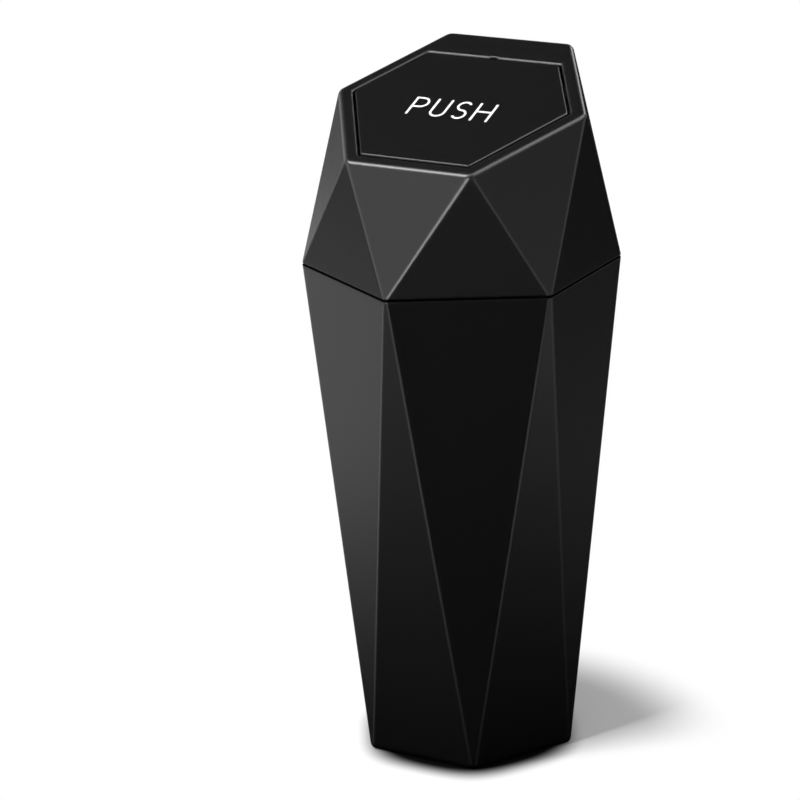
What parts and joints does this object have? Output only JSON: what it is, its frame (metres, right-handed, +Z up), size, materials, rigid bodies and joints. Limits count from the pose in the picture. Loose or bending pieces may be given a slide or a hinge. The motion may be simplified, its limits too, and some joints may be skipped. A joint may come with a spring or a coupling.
{
  "type": "car trash bin",
  "caption": "Tall faceted waste bin for a car: hexagonal barrel, lift-off head with a sloping top, and a push-to-open hinged lid with a heart-cam latch.",
  "frame": {"origin": "centre of the hexagonal foot, on the surface that the bin stands on", "axes": "+Z up, -Y the front where the top is lowest, +X to the right seen from behind the bin's back, parallel to the hinge pin"},
  "size_m": [0.078, 0.0894, 0.1989],
  "materials": {
    "shell": "satin black moulded plastic",
    "lid": "satin black moulded plastic",
    "frame": "matt black moulded plastic",
    "latch_black": "matt black moulded plastic",
    "acetal": "natural white acetal",
    "steel": "zinc-plated steel",
    "spring_wire": "drawn spring steel wire"
  },
  "bodies": {
    "barrel": {"barrel": "shell"},
    "head": {"head_shell": "shell", "inner_frame": "frame", "frame_screws": "steel", "hinge_pin": "steel", "hinge_spring_left": "spring_wire", "hinge_spring_right": "spring_wire", "latch_housing": "latch_black", "latch_spring": "spring_wire", "latch_wire": "spring_wire", "latch_screws": "steel"},
    "lid": {"lid_panel": "lid", "lid_carrier": "frame", "lid_screws": "steel"},
    "latch": {"latch_slider": "acetal"}
  },
  "joints": [
    {"name": "head_lift", "type": "slide", "parent": "barrel", "child": "head", "axis": [0, 0, 1], "range_m": [0, 0.06]},
    {"name": "lid_hinge", "type": "hinge", "parent": "head", "child": "lid", "pos_m": [0, 0.02679, 0.19331], "axis": [-1, 0, 0], "range_deg": [-1.5, 90], "deforming": ["hinge_spring_left", "hinge_spring_right"]},
    {"name": "latch_slide", "type": "slide", "parent": "head", "child": "latch", "axis": [0, -0.3584, 0.9336], "range_m": [-0.00007, 0.0045], "deforming": ["latch_spring", "latch_wire"]}
  ],
  "couplings": [
    {"joint": "latch_slide", "follows": "lid_hinge", "m_per_rad": 0.0028648}
  ]
}
